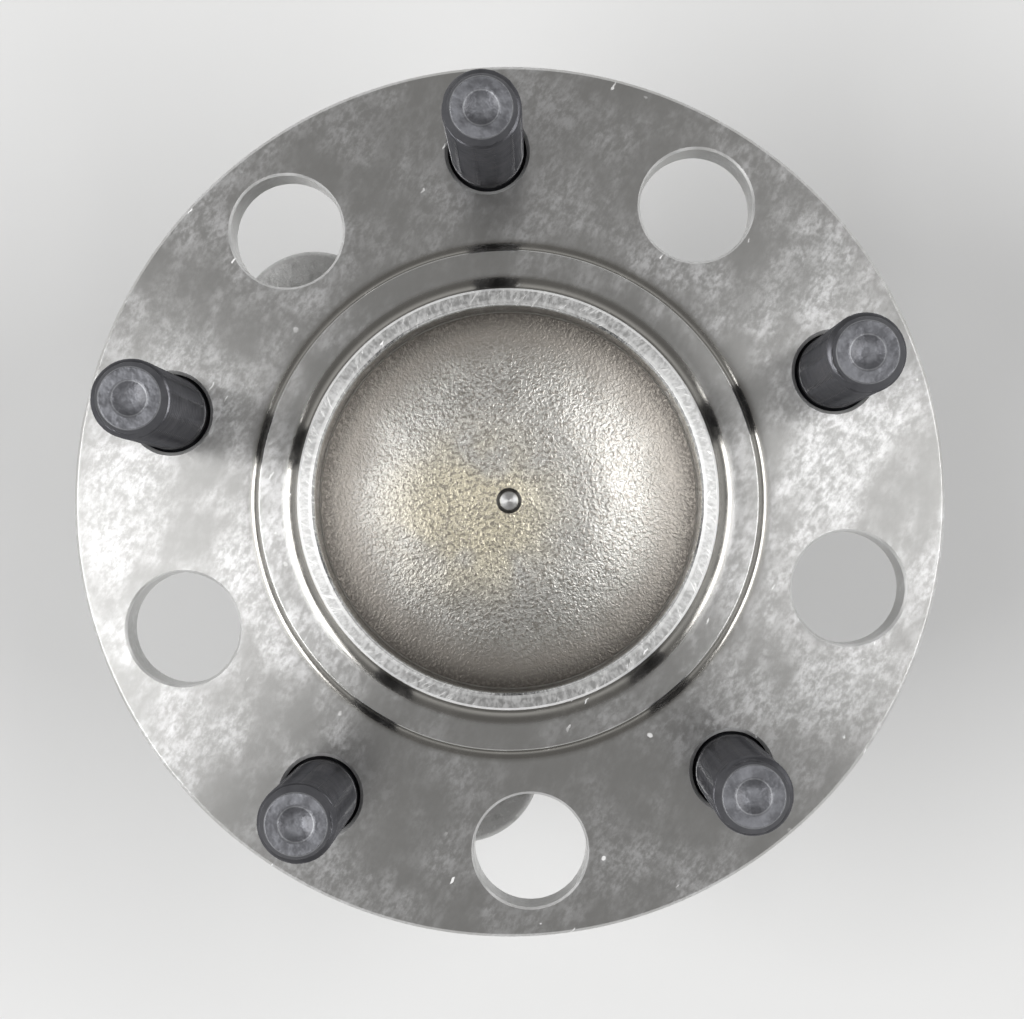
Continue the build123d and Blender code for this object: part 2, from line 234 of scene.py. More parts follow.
def rounded(corners, edgeRound=0.12, stepAngle=18, longest=None):
    # An outline of (radius, height) through corners of (radius, height[, fillet]), all in mm.
    points = [corners[0][:2]]
    for before, corner, after in zip(corners, corners[1:], corners[2:]):
        here = Vector(corner[:2])
        back = Vector(before[:2]) - here
        ahead = Vector(after[:2]) - here
        bend = pi - back.angle(ahead)
        fillet = corner[2] if len(corner) > 2 else edgeRound
        if bend < radians(3):
            points.append(tuple(here))
            continue
        reach = min(fillet * tan(bend / 2), 0.48 * back.length, 0.48 * ahead.length)
        fillet = reach / tan(bend / 2)
        start = here + back.normalized() * reach
        end = here + ahead.normalized() * reach
        inward = (back.normalized() + ahead.normalized()).normalized()
        middle = here + inward * (fillet / cos(bend / 2))
        steps = max(2, ceil(bend / radians(stepAngle)))
        first = atan2(start.y - middle.y, start.x - middle.x)
        sweep = atan2(end.y - middle.y, end.x - middle.x) - first
        sweep = (sweep + pi) % (2 * pi) - pi
        for k in range(steps + 1):
            turn = first + sweep * k / steps
            points.append((middle.x + fillet * cos(turn), middle.y + fillet * sin(turn)))
    points.append(corners[-1][:2])
    return supported(points) if longest is None else divided(points, longest)


def between(start, end, share):
    return start[0] + (end[0] - start[0]) * share, start[1] + (end[1] - start[1]) * share


def supported(points, near=0.3):
    # Adds a point close to each end of a long run, which keeps flat faces evenly shaded.
    result = [points[0]]
    for start, end in zip(points, points[1:]):
        length = hypot(end[0] - start[0], end[1] - start[1])
        if length > 4 * near:
            for share in (near / length, 1 - near / length):
                result.append(between(start, end, share))
        result.append(end)
    return result


def divided(points, longest):
    result = [points[0]]
    for start, end in zip(points, points[1:]):
        parts = max(1, ceil(hypot(end[0] - start[0], end[1] - start[1]) / longest))
        for k in range(1, parts + 1):
            result.append(between(start, end, k / parts))
    return result


def kept(shape, name):
    # Turns a finished bmesh into a mesh with its faces looking outward.
    bmesh.ops.recalc_face_normals(shape, faces=shape.faces)
    mesh = bpy.data.meshes.new(name)
    shape.to_mesh(mesh)
    shape.free()
    return mesh


def turnedMesh(name, outline, segments, shift=None):
    # A closed mesh turned about Z. An outline that starts or ends on the axis closes in a pole there.
    shape = bmesh.new()
    rings = []
    closed = outline[0][0] > 1e-6
    for radius, height in outline:
        if radius < 1e-6:
            rings.append([shape.verts.new((0, 0, height * mm))])
            continue
        ring = []
        for k in range(segments):
            angle = 2 * pi * k / segments
            place = Vector((radius * cos(angle), radius * sin(angle), height))
            if shift:
                place += shift(place)
            ring.append(shape.verts.new(place * mm))
        rings.append(ring)
    if closed:
        rings.append(rings[0])
    for lower, upper in zip(rings, rings[1:]):
        for k in range(segments):
            around = (k + 1) % segments
            corners = []
            for ring, index in ((lower, k), (lower, around), (upper, around), (upper, k)):
                vertex = ring[index % len(ring)]
                if vertex not in corners:
                    corners.append(vertex)
            if len(corners) > 2:
                shape.faces.new(corners)
    return kept(shape, name)


def smooth(piece, sharpAngle=30):
    piece.data.shade_smooth()
    piece.data.set_sharp_from_angle(angle=radians(sharpAngle))


def newPiece(name, mesh, *materials):
    piece = bpy.data.objects.new(name, mesh)
    bpy.context.scene.collection.objects.link(piece)
    for material in materials:
        piece.data.materials.append(material)
    return piece


def combine(piece, tool, operation):
    # A boolean with another mesh, which is then thrown away.
    modifier = piece.modifiers.new("cut", "BOOLEAN")
    modifier.operation = operation
    modifier.solver = "MANIFOLD"
    modifier.object = tool
    before = len(piece.data.polygons)
    settled(piece)
    print("   ", operation.lower(), piece.name, before, "to", len(piece.data.polygons), "faces")
    bpy.data.objects.remove(tool)


def copies(name, mesh, places):
    # One mesh repeated at (x, y) places in mm.
    shape = bmesh.new()
    for x, y in places:
        first = len(shape.verts)
        shape.from_mesh(mesh)
        shape.verts.ensure_lookup_table()
        bmesh.ops.translate(shape, verts=shape.verts[first:], vec=(x * mm, y * mm, 0))
    return newPiece(name, kept(shape, name))


def around(radius, count, first):
    turns = [radians(first + 360 * k / count) for k in range(count)]
    return [(radius * cos(turn), radius * sin(turn)) for turn in turns]


def holeCutter(name, radius, bottom, edge, places):
    # Through-holes from height 0 down, chamfered at both ends.
    outline = rounded([
        (0, 1),
        (radius + edge + 1, 1),
        (radius, -edge),
        (radius, bottom + edge),
        (radius + edge + 1, bottom - 1),
        (0, bottom - 1),
    ])
    return copies(name, turnedMesh(name, outline, 96), places)


# Materials

def turnedSteel(graph):
    # Bright turned steel: fine rings, a milky film left by handling and a few chips, with painted
    # shade in the concave fillets and painted highlights on the bevels, the hole edges and the rim's
    # inner edge.
    look = {
        "base": (0.565, 0.563, 0.55, 1),
        "film": (0.76, 0.76, 0.76, 1),
        # painted shade: the darker colour laid into the concave fillets of the pilot and the step
        "corner": (0.33, 0.32, 0.30, 1),
        "rim": (0.50, 0.50, 0.495, 1),
        "rimTicks": (0.66, 0.66, 0.655, 1),
        # painted highlight: the bright colour on the rim's outer bevel, its inner edge line and the
        # hole edges
        "edge": (0.86, 0.86, 0.855, 1),
        "chip": (0.95, 0.95, 0.94, 1),
        "roughness": 0.29,
        "wallRoughness": 0.15,
        "rimRoughness": 0.40,
        "ringDepth": 0.003,
        "rimRadius": 30,
        "rimMiddle": (32.0, 32.4),
        "rimHeight": (10.5, 10.7),
        "stepFoot": (44.2, 43.6),
        "aboveFace": (-0.05, 0.03),
        "pilotCorner": (33.4, 33.7, 35.6, 36.7),
        "stepCorner": (40.3, 40.6, 42.0, 43.0),
        "holes": (46.0, 46.5, 70.0, 70.4),
    }
    place, x, y, z, radius = graph.measured()
    rings = graph.lines(radius + z, 1.1, 1.5, 0.6)
    clouds = graph.grain(place, 0.055, 3.0, 0.55)
    wipes = graph.grain(graph.stretched(place, (0.09, 0.3, 0.2), 50), 1.0, 4.0, 0.6)
    mottle = graph.grain(graph.stretched(place, (1.0, 1.7, 1.0), 35), 0.8, 5.0, 0.7) * 0.6
    mottle = graph.ramp(mottle + graph.grain(place, 0.35, 3.0, 0.6) * 0.4, 0.40, 0.62)
    film = graph.ramp(clouds * 0.7 + wipes * 0.3, 0.40, 0.60, 0.1, 1.0) * (mottle * 0.85 + 0.15)
    wobble = graph.grain(place, 0.9, 1.0).also("Color")
    warp = graph.node("ShaderNodeVectorMath", {"operation": "SCALE"}, {0: wobble, "Scale": 0.9})
    warped = graph.node("ShaderNodeVectorMath", {"operation": "ADD"}, {0: place, 1: warp})
    crowd = graph.ramp(graph.grain(place, 0.05, 1.0), 0.47, 0.58)
    cell = graph.cells(warped, 0.30)
    chips = graph.ramp(cell, 0.15, 0.10) * (graph.split(cell.also("Color"))[0] > 0.87)
    stroke = graph.cells(graph.stretched(warped, (0.3, 1.2, 0.4), 38), 0.8)
    strokes = graph.ramp(stroke, 0.2, 0.14) * (graph.split(stroke.also("Color"))[1] > 0.93)
    chips = (chips + strokes) * crowd
    facing = graph.facing()
    raised = graph.ramp(z, *look["aboveFace"])
    wall = graph.ramp(radius, *look["stepFoot"]) * raised * graph.ramp(facing, 0.995, 0.97)
    rim = graph.ramp(z, *look["rimHeight"])
    bevel = graph.ramp(facing, 0.97, 0.85)
    outside = graph.ramp(radius, *look["rimMiddle"])
    outerBevel = rim * bevel * outside
    innerBevel = rim * bevel * (1 - outside)
    # painted shade: masks of the fillets at the pilot and the step, darkened in the colour below
    corner = graph.within(radius, *look["pilotCorner"]) * (1 - rim)
    corner = (corner + graph.within(radius, *look["stepCorner"])) * raised
    holeEdge = bevel * graph.within(radius, *look["holes"]) * graph.ramp(z, -0.6, -0.5)
    # painted highlight: a bright line along the inner edge of the rim's top
    innerLineHighlight = rim * (1 - bevel) * graph.ramp(radius, 31.75, 31.45) * 0.6
    along = y.math("ARCTAN2", x) * look["rimRadius"]
    swept = graph.joined(along + radius * 0.7, radius * 0.22, 0.0)
    scratches = graph.ramp(graph.grain(swept, 1.3, 3.0, 0.7), 0.55, 0.66)
    scratches = scratches * graph.ramp(clouds, 0.38, 0.52) * rim
    milled = graph.grain(graph.joined(along, radius * 0.5, 0.0), 1.6, 3.0, 0.65)
    tone = graph.blend(film, look["base"], look["film"])
    # painted shade in the fillets
    tone = graph.blend(corner, tone, look["corner"])
    ticks = graph.blend(graph.ramp(milled, 0.38, 0.60), look["rim"], look["rimTicks"])
    tone = graph.blend(rim, tone, ticks)
    # painted highlights on the outer bevel, the rim's inner edge and the hole edges
    tone = graph.blend(outerBevel + innerLineHighlight + holeEdge * 0.7, tone, look["edge"])
    tone = graph.blend((chips + scratches * 0.9).clamp(), tone, look["chip"])
    rough = film * 0.12 + look["roughness"]
    rough = rough + wall * (1 - rim) * (look["wallRoughness"] - look["roughness"])
    rough = rough + rim * (look["rimRoughness"] - look["roughness"] + (milled - 0.5) * 0.3)
    rough = rough + chips * 0.15
    rough = rough * (1 - innerBevel) + innerBevel * 0.12
    metal = 0.99 - film * 0.08 - rim * (1 - innerBevel) * graph.ramp(milled, 0.35, 0.65, 0.08, 0.3)
    height = (rings - 0.5) * (1 - rim) * look["ringDepth"] + milled * rim * 0.04
    return {
        "Base Color": tone,
        # metal is lowered on the painted bevel and hole-edge highlights so they stay bright, and on
        # the chips
        "Metallic": metal - (outerBevel + holeEdge) * 0.3 - chips.clamp() * 0.75,
        "Roughness": rough,
        "Anisotropic": 0.72,
        "Anisotropic Rotation": 0.25,
        "Normal": graph.bump(height - chips * 0.006 - scratches * 0.012),
    }


def blastedSteel(graph):
    # The shot-blasted bowl: sparkling grains, a painted warm reflection left of the middle, duller and
    # browner toward the wall with painted shade there and a painted dark shade at its foot, and
    # painted light and shade rings in the centre mark.
    look = {
        "base": (0.49, 0.48, 0.455, 1),
        # painted reflection: a warm patch left of the middle, as from a yellow light
        "reflectedWarm": (0.64, 0.59, 0.46, 1),
        # browner and darker toward the wall: partly the steel's own tone, partly painted shade of the
        # concave bowl
        "dullShadedBand": (0.27, 0.25, 0.225, 1),
        # painted shade: near black where the bowl's floor meets its wall
        "foot": (0.11, 0.10, 0.09, 1),
        "wall": (0.50, 0.49, 0.47, 1),
        "pit": (0.27, 0.25, 0.22, 1),
        # painted highlight on the mark's cone, and painted shade on its bevel and at the drill's edge
        "cone": (0.80, 0.79, 0.76, 1),
        "bevel": (0.12, 0.115, 0.105, 1),
        "dullFrom": (20.0, 27.5),
        "footShadeFrom": (26.5, 30.6),
        "wallFrom": (30.35, 30.58),
        "reflectionX": -6,
        "reflectionReach": (19.0, 5.0),
        "markEdge": (2.15, 2.05),
        "markGap": 0.88,
        "roughness": 0.40,
    }
    place, x, y, _, radius = graph.measured()
    pits = graph.grain(place, 1.9, 3.0, 0.6)
    worms = graph.grain(place, 1.3, 2.0, 0.5)
    ridge = 1 - (worms - 0.5).math("ABSOLUTE") * 7
    ragged = radius + (graph.grain(place, 0.12, 3.0, 0.6) - 0.5) * 5.0
    # the band toward the wall: duller and less pitted, and its colour darkened as painted shade
    dullShadedBand = graph.ramp(ragged, *look["dullFrom"])
    mark = graph.ramp(radius, *look["markEdge"])
    height = (pits * 0.10 + ridge.clamp() * 0.034) * (1 - dullShadedBand * 0.4) * (1 - mark)
    # painted reflection: the warm patch, centred left of the axis and broken up by noise
    aside = x - look["reflectionX"]
    warmReflection = graph.ramp((aside * aside + y * y) ** 0.5, *look["reflectionReach"])
    warmReflection = warmReflection * graph.ramp(graph.grain(place, 0.09, 3.0), 0.3, 0.55)
    tone = graph.blend(warmReflection, look["base"], look["reflectedWarm"])
    tone = graph.blend(dullShadedBand * 0.92, tone, look["dullShadedBand"])
    # painted shade at the foot of the wall
    tone = graph.blend(graph.ramp(radius, *look["footShadeFrom"]), tone, look["foot"])
    tone = graph.blend(graph.ramp(radius, *look["wallFrom"]), tone, look["wall"])
    tone = graph.blend(graph.ramp(pits, 0.53, 0.40) * (0.75 - dullShadedBand * 0.35), tone, look["pit"])
    # painted light and shade in the centre mark: bright in the drill and on the cone, dark at the
    # drill's edge and on the outer bevel
    gapShade = graph.ramp((radius - look["markGap"]).math("ABSOLUTE"), 0.2, 0.1)
    markLightAndShade = graph.blend((graph.ramp(radius, 1.4, 1.65) + gapShade).clamp(), look["cone"], look["bevel"])
    tone = graph.blend(mark, tone, markLightAndShade)
    rough = look["roughness"] + (pits - 0.5) * 0.22 + dullShadedBand * 0.08
    rough = rough * (1 - mark) + mark * 0.22
    return {
        "Base Color": tone,
        "Metallic": 1.0,
        "Roughness": rough,
        "Normal": graph.bump(height),
    }


def blackSteel(graph):
    # Oiled black oxide, a little rubbed at the ends, with a painted highlight ring at the edges of
    # each tip's face.
    look = {
        "base": (0.055, 0.056, 0.064, 1),
        "stain": (0.13, 0.13, 0.14, 1),
        "rubbed": (0.25, 0.255, 0.275, 1),
        # painted highlight: a pale thin ring at the edges of the tip's face
        "edge": (0.50, 0.51, 0.53, 1),
        "tipFrom": (35.3, 35.6),
        "edgeHighlightFrom": (36.12, 36.2),
        "roughness": 0.26,
    }
    place = graph.millimetres()
    z = graph.split(place)[2]
    stains = graph.grain(place, 0.35, 4.0, 0.6)
    grit = graph.grain(place, 3.2, 3.0, 0.6)
    facing = graph.facing()
    tip = graph.ramp(z, *look["tipFrom"]) * graph.ramp(facing, 0.80, 0.90)
    rub = graph.ramp(graph.grain(place, 0.42, 4.0, 0.6), 0.36, 0.64)
    dents = graph.grain(place, 0.7, 2.0, 0.5)
    slope = tip * graph.ramp(facing, 0.992, 0.965)
    # painted highlight: the rings where the tip's face turns down, at its rim and into the dimple
    edge = graph.ramp(z, *look["edgeHighlightFrom"]) * graph.ramp(facing, 0.985, 0.95)
    tone = graph.blend(stains, look["base"], look["stain"])
    tone = graph.blend(tip * (rub * 0.5 + 0.35) * (1 - slope * 0.75), tone, look["rubbed"])
    # painted highlight ring
    tone = graph.blend(edge * 0.35, tone, look["edge"])
    rough = look["roughness"] + stains * 0.16 + (grit - 0.5) * 0.1 + tip * (rub * 0.08 + 0.14)
    return {
        "Base Color": tone,
        "Metallic": 0.92,
        "Roughness": rough,
        "Coat Weight": 0.25,
        "Coat Roughness": 0.22,
        "Normal": graph.bump(grit * 0.006 + stains * 0.01 + dents * tip * 0.2),
    }


def forgedSteel(graph):
    # Forged and shot-blasted, light grey with pale and dark scale.
    place = graph.millimetres()
    pits = graph.grain(place, 1.1, 4.0, 0.65)
    lumps = graph.grain(place, 0.16, 3.0)
    scaleMarks = graph.ramp(graph.grain(place, 0.4, 4.0, 0.62), 0.5, 0.68)
    tone = graph.blend(lumps, (0.62, 0.62, 0.615, 1), (0.50, 0.497, 0.49, 1))
    tone = graph.blend(scaleMarks * 0.34, tone, (0.28, 0.275, 0.27, 1))
    tone = graph.blend(graph.ramp(pits, 0.54, 0.68) * 0.6, tone, (0.74, 0.74, 0.73, 1))
    return {
        "Base Color": tone,
        "Metallic": 0.85,
        "Roughness": 0.52 + (pits - 0.5) * 0.3 + scaleMarks * 0.1,
        "Normal": graph.bump(pits * 0.16 + lumps * 0.3),
    }


def machinedSteel(graph):
    # Turned faces of the outer ring.
    place, _, _, z, radius = graph.measured()
    feed = graph.lines(radius + z, 2.6, 3.0, 0.7)
    stains = graph.ramp(graph.grain(place, 0.07, 4.0, 0.6), 0.45, 0.62)
    tone = graph.blend(stains, (0.56, 0.56, 0.55, 1), (0.44, 0.435, 0.42, 1))
    return {
        "Base Color": tone,
        "Metallic": 1.0,
        "Roughness": 0.3 + stains * 0.12 + (feed - 0.5) * 0.1,
        "Anisotropic": 0.6,
        "Anisotropic Rotation": 0.25,
        "Normal": graph.bump(feed * 0.006),
    }


def raceSteel(graph):
    # Hardened and finely ground.
    place, _, _, z, radius = graph.measured()
    ground = graph.lines(radius + z * 1.3, 8.0, 3.0, 0.7)
    haze = graph.grain(place, 0.12, 3.0)
    tone = graph.blend(haze, (0.64, 0.64, 0.63, 1), (0.54, 0.54, 0.54, 1))
    return {
        "Base Color": tone,
        "Metallic": 1.0,
        "Roughness": 0.16 + haze * 0.08 + (ground - 0.5) * 0.06,
        "Anisotropic": 0.5,
        "Anisotropic Rotation": 0.25,
        "Normal": graph.bump(ground * 0.001),
    }


def ballSteel(graph):
    # Lapped balls, close to a mirror, with a thin film of grease.
    place = graph.millimetres()
    film = graph.ramp(graph.grain(place, 0.28, 3.0, 0.6), 0.4, 0.65)
    tone = graph.blend(film, (0.68, 0.68, 0.68, 1), (0.58, 0.57, 0.54, 1))
    return {
        "Base Color": tone,
        "Metallic": 1.0,
        "Roughness": 0.06 + film * 0.1,
        "Normal": graph.bump(film * 0.003),
    }


def platedSteel(graph):
    # Pressed sheet with a passivated zinc coat.
    place = graph.millimetres()
    haze = graph.grain(place, 0.1, 4.0, 0.6)
    spangle = graph.grain(place, 1.6, 2.0, 0.5)
    film = graph.blend(graph.ramp(haze, 0.4, 0.62), (0.60, 0.60, 0.575, 1), (0.56, 0.57, 0.58, 1))
    tone = graph.blend(graph.ramp(spangle, 0.58, 0.7) * 0.5, film, (0.42, 0.42, 0.41, 1))
    return {
        "Base Color": tone,
        "Metallic": 1.0,
        "Roughness": 0.3 + haze * 0.16 + (spangle - 0.5) * 0.08,
        "Normal": graph.bump(haze * 0.05 + spangle * 0.004),
    }


def sheetSteel(graph):
    # Plain drawn sheet, with draw lines up its walls.
    place = graph.millimetres()
    x, y, _ = graph.split(place)
    drawn = graph.lines(y.math("ARCTAN2", x) * 40, 2.0, 3.0, 0.7)
    haze = graph.grain(place, 0.2, 3.0)
    tone = graph.blend(haze, (0.55, 0.55, 0.54, 1), (0.42, 0.42, 0.42, 1))
    return {
        "Base Color": tone,
        "Metallic": 1.0,
        "Roughness": 0.3 + haze * 0.14 + (drawn - 0.5) * 0.1,
        "Normal": graph.bump(drawn * 0.003),
    }


def nitrile(graph):
    # Moulded seal rubber with a faint bloom.
    place = graph.millimetres()
    bloom = graph.ramp(graph.grain(place, 0.25, 4.0, 0.6), 0.45, 0.7)
    grit = graph.grain(place, 5.0, 2.0)
    tone = graph.blend(bloom * 0.7, (0.018, 0.018, 0.019, 1), (0.045, 0.045, 0.047, 1))
    return {
        "Base Color": tone,
        "Roughness": 0.48 + bloom * 0.16 + (grit - 0.5) * 0.08,
        "Normal": graph.bump(grit * 0.006),
    }


def magnetRubber(graph):
    # Magnetised rubber, pressed flat, with the faint arcs of its mould.
    place, _, _, _, radius = graph.measured()
    arcs = graph.lines(radius, 3.0, 2.0)
    dust = graph.ramp(graph.grain(place, 0.9, 4.0, 0.7), 0.55, 0.75)
    tone = graph.blend(dust * 0.6, (0.03, 0.029, 0.028, 1), (0.09, 0.088, 0.084, 1))
    return {
        "Base Color": tone,
        "Roughness": 0.5 + dust * 0.2,
        "Normal": graph.bump(arcs * 0.004 + dust * 0.002),
    }


def blackNylon(graph):
    # Glass-filled nylon moulding: fine sparkle grain, with flow marks and softer gloss in patches.
    place = graph.millimetres()
    sparkle = graph.grain(place, 3.4, 3.0, 0.65)
    flow = graph.grain(graph.stretched(place, (0.06, 0.3, 0.3), 0), 1.0, 4.0, 0.6)
    fibres = graph.ramp(graph.grain(graph.stretched(place, (1.2, 7.0, 4.0), 20), 1.0, 1.0), 0.66, 0.76)
    tone = graph.blend(flow, (0.019, 0.019, 0.020, 1), (0.034, 0.034, 0.035, 1))
    tone = graph.blend(fibres * 0.35, tone, (0.10, 0.10, 0.10, 1))
    return {
        "Base Color": tone,
        "Roughness": 0.40 + flow * 0.15 + (sparkle - 0.5) * 0.12,
        "Normal": graph.bump(sparkle * 0.012 + fibres * 0.002),
    }


def cageNylon(graph):
    # Natural nylon, amber where it is thick.
    place = graph.millimetres()
    flow = graph.grain(place, 0.3, 4.0, 0.6)
    grit = graph.grain(place, 4.0, 2.0)
    tone = graph.blend(flow, (0.42, 0.31, 0.16, 1), (0.54, 0.43, 0.25, 1))
    return {
        "Base Color": tone,
        "Roughness": 0.34 + flow * 0.14 + (grit - 0.5) * 0.06,
        "Subsurface Weight": 0.12,
        "Subsurface Radius": (0.002, 0.0012, 0.0006),
        "Normal": graph.bump(grit * 0.006),
    }


def tinnedBrass(graph):
    # Stamped blades with a tin coat, worn through in places.
    place = graph.millimetres()
    worn = graph.ramp(graph.grain(place, 1.3, 3.0, 0.6), 0.56, 0.7)
    drag = graph.grain(graph.stretched(place, (0.3, 5.0, 5.0), 0), 1.0, 2.0)
    tone = graph.blend(worn, (0.70, 0.69, 0.66, 1), (0.66, 0.52, 0.24, 1))
    return {
        "Base Color": tone,
        "Metallic": 1.0,
        "Roughness": 0.24 + worn * 0.1 + (drag - 0.5) * 0.08,
        "Normal": graph.bump(drag * 0.003),
    }


finishes = {
    "ground_steel": paint(turnedSteel),
    "black_steel": paint(blackSteel),
    "bearing_steel": paint(raceSteel),
    "plated_steel": paint(platedSteel),
    "sheet_steel": paint(sheetSteel),
    "magnet_rubber": paint(magnetRubber),
    "forged_steel": paint(forgedSteel),
    "seal_rubber": paint(nitrile),
    "black_nylon": paint(blackNylon),
    "tinned_brass": paint(tinnedBrass),
    "cage_nylon": paint(cageNylon),
    "ball_steel": paint(ballSteel),
}
bowlFinish = paint(blastedSteel)
machinedFinish = paint(machinedSteel)
print("materials ready:", len(finishes) + 2)

for subpart in frame["record"]["subparts"]:
    node = frame["nodes"][subpart["node"]]
    for index in range(len(node.material_slots)):
        node.material_slots[index].material = finishes[subpart["material_slot"]]


# The wheel hub: one forging with the flange, the pilot and the spindle

hub = {
    "pitchRadius": 57.15,
    "flangeRadius": 71.1,
    "flangeBack": -9.0,
    "flangeEdge": 0.5,
    "stepRadius": 40.5,
    "stepHeight": 4.0,
    "stepFillet": 3.0,
    "stepEdge": 0.2,
    "pilotRadius": 33.45,
    "pilotHeight": 11.0,
    "pilotFillet": 3.4,
    "pilotEdge": 0.4,
    "bowlRadius": 30.6,
    "bowlCorner": 0.8,
    "mouthEdge": 0.5,
    "bowlRim": 2.2,
    "bowlSag": 6.0,
    "bowlClearance": 0.6,
    "landRadius": 27.97,
    "rootFillet": 4.5,
    "sealBack": -18.5,
    "lipRun": -17.375,
    "highShoulder": 24.81,
    "lowShoulder": 21.64,
    "ballCircle": 27.2187,
    "grooveRadius": 5.706,
    "row": -26.656,
    "ringJoint": -37.356,
    "journal": 16.94,
    "threadRadius": 11.94,
    "journalEnd": -59.412,
    "spindleEnd": -70.912,
    "studCount": 5,
    "firstStud": 74.7,
    "studHole": 6.45,
    "studMouth": 0.55,
    "accessHole": 9.2,
    "accessEdge": 0.4,
    "segments": 256,
}


def grooveArc(circle, groove, row, start, end, steps=9):
    # Points of a raceway's groove between two angles, in degrees from the bearing's radius.
    turns = [radians(start + (end - start) * k / steps) for k in range(steps + 1)]
    return [(circle + groove * cos(turn), row + groove * sin(turn)) for turn in turns]


def makeHub():
    pilot, pilotTop = hub["pilotRadius"], hub["pilotHeight"]
    step, stepTop = hub["stepRadius"], hub["stepHeight"]
    flange, back, edge = hub["flangeRadius"], hub["flangeBack"], hub["flangeEdge"]
    bowlWall = hub["bowlRadius"]
    floor = hub["bowlRim"] - hub["bowlClearance"]
    bottom = floor - hub["bowlSag"]
    front = rounded([
        (0, bottom),
        (bowlWall / 2, bottom + hub["bowlSag"] / 5, bowlWall),
        (bowlWall, floor, hub["bowlCorner"]),
        (bowlWall, pilotTop - hub["mouthEdge"]),
        (bowlWall + hub["mouthEdge"], pilotTop),
        (pilot - hub["pilotEdge"], pilotTop),
        (pilot, pilotTop - hub["pilotEdge"]),
        (pilot, stepTop, hub["pilotFillet"]),
        (step - hub["stepEdge"], stepTop),
        (step, stepTop - hub["stepEdge"]),
        (step, 0, hub["stepFillet"]),
        (flange - edge, 0),
        (flange, -edge),
        (flange, back + edge),
        (flange - edge, back),
        (hub["landRadius"], back, hub["rootFillet"]),
        (hub["landRadius"], hub["lipRun"]),
        (hub["highShoulder"], hub["sealBack"]),
        (hub["highShoulder"], hub["row"] + 5.17),
    ], stepAngle=11)
    raceway = grooveArc(hub["ballCircle"], hub["grooveRadius"], hub["row"], 115, 192)
    inboard = rounded([
        (hub["lowShoulder"], hub["row"] - 1.19),
        (hub["lowShoulder"], hub["ringJoint"]),
        (hub["journal"], hub["ringJoint"]),
        (hub["journal"], hub["journalEnd"]),
        (hub["threadRadius"], hub["journalEnd"]),
        (hub["threadRadius"], hub["spindleEnd"] + 1),
        (hub["threadRadius"] - 1, hub["spindleEnd"]),
        (0, hub["spindleEnd"]),
    ])
    mesh = turnedMesh("wheelHub", front + raceway + inboard, hub["segments"])
    piece = newPiece("wheelHub", mesh, finishes["ground_steel"])
    for name, radius, mouth, first in (
        ("studHoles", hub["studHole"], hub["studMouth"], hub["firstStud"]),
        ("accessHoles", hub["accessHole"], hub["accessEdge"], hub["firstStud"] - 36),
    ):
        places = around(hub["pitchRadius"], hub["studCount"], first)
        combine(piece, holeCutter(name, radius, back, mouth, places), "DIFFERENCE")
    smooth(piece)
    return piece


bowl = {
    "longest": 0.34,
    "segments": 448,
    "grain": 0.035,
    "grainSize": 0.8,
    "waves": 0.09,
    "waveSize": 5.5,
    "calmFrom": 22.0,
    "calmTo": 28.0,
    "wallReach": 0.95,
    "markRadius": 2.1,
    "coneRadius": 1.5,
    "drillRadius": 0.75,
    "drillDepth": 2.2,
}


def blasted(place):
    # How far the blasted surface stands off its smooth shape, in mm.
    radius = hypot(place.x, place.y)
    calm = min(max((bowl["calmTo"] - radius) / (bowl["calmTo"] - bowl["calmFrom"]), 0), 1)
    calm *= min(max((radius - bowl["markRadius"]) / 0.5, 0), 1)
    fine = noise.noise(place / bowl["grainSize"]) * bowl["grain"]
    broad = noise.noise(place / bowl["waveSize"]) * bowl["waves"]
    return Vector((0, 0, (fine + broad) * calm))


def makeBowl():
    wall, rim, reach = hub["bowlRadius"], hub["bowlRim"], bowl["wallReach"]
    mark, cone, drill = bowl["markRadius"], bowl["coneRadius"], bowl["drillRadius"]
    bottom = rim - hub["bowlSag"]
    centre = bottom + mark * hub["bowlSag"] / 5 / (wall / 2)
    mouth = centre - (mark - cone) * tan(radians(30))
    end = mouth - (cone - drill) * tan(radians(60))
    centreMark = rounded([
        (0, end - bowl["drillDepth"] - drill * tan(radians(30))),
        (drill, end - bowl["drillDepth"]),
        (drill, end),
        (cone, mouth),
        (mark, centre),
        (mark + 0.6, centre + 0.05),
    ], edgeRound=0.06)
    surface = rounded([
        (mark + 0.9, centre + 0.07),
        (wall / 2, bottom + hub["bowlSag"] / 5, wall),
        (wall + 0.03, rim, hub["bowlCorner"]),
        (wall + 0.03, rim + reach),
    ], stepAngle=6, longest=bowl["longest"])
    under = [
        (wall + 0.6, rim + reach - 0.2),
        (wall + 0.6, rim - 2.0),
        (wall / 2, bottom - 2.0),
        (0, bottom - 6.0),
    ]
    mesh = turnedMesh("bowlFloor", centreMark + surface + under, bowl["segments"], blasted)
    piece = newPiece("bowlFloor", mesh, bowlFinish)
    smooth(piece, 40)
    return piece


wheelHub = makeHub()
bowlFloor = makeBowl()
for piece in (wheelHub, bowlFloor):
    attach(piece, "hub_unit")
    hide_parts("hub_spindle")
print("hub and bowl made:", len(wheelHub.data.polygons), len(bowlFloor.data.polygons))


# The wheel studs: one blank, its thread cut and the five set in a circle by a geometry tree

stud = {
    "radius": 6.0,
    "reach": 36.3,
    "tipChamfer": 1.4,
    "dimpleRadius": 2.9,
    "dimpleDepth": 0.6,
    "runoutRadius": 5.55,
    "knurlRadius": 6.45,
    "headRadius": 10.0,
    "headThickness": 3.5,
    "pitch": 1.5,
    "threadDepth": 0.86,
    "threadStart": 1.6,
    "segments": 54,
    "rowsPerPitch": 12,
    "spin": 1.9,
}


